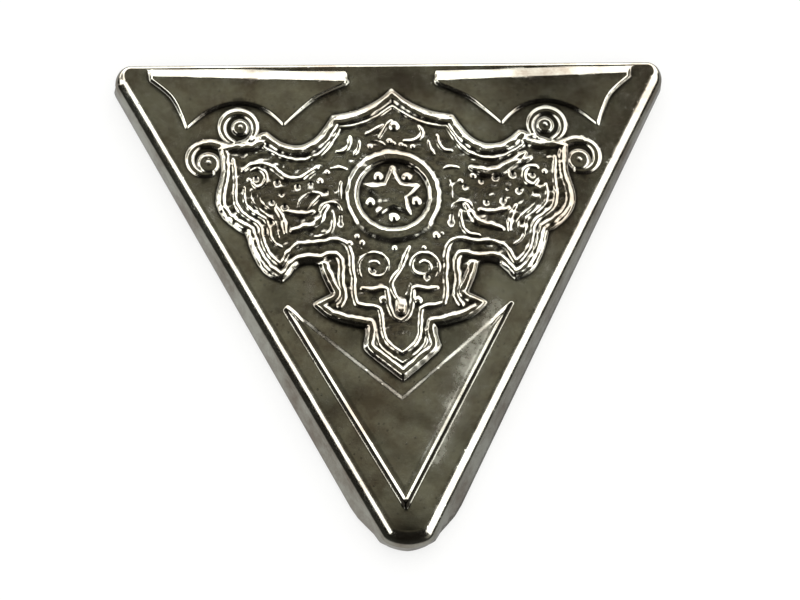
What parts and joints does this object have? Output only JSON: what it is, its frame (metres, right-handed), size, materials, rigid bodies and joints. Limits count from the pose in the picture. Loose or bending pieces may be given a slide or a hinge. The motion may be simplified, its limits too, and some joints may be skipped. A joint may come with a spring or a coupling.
{
  "type": "collar tip",
  "caption": "Stamped slip-on collar tip: a triangular plated sheet with raised scrollwork and a ringed star, folded at the sides into a pocket for a collar point.",
  "frame": {"origin": "bottom centre of the whole, on the back face of the flanges", "axes": "+X along the straight edge, +Y from the point to the straight edge, +Z out of the ornamented face"},
  "size_m": [0.0462, 0.042, 0.0032],
  "materials": {
    "nickel_plate": "bright nickel plate, lightly worn, with fine hairline scratches and specks"
  },
  "bodies": {
    "root": {"shell": "nickel_plate"}
  },
  "joints": []
}
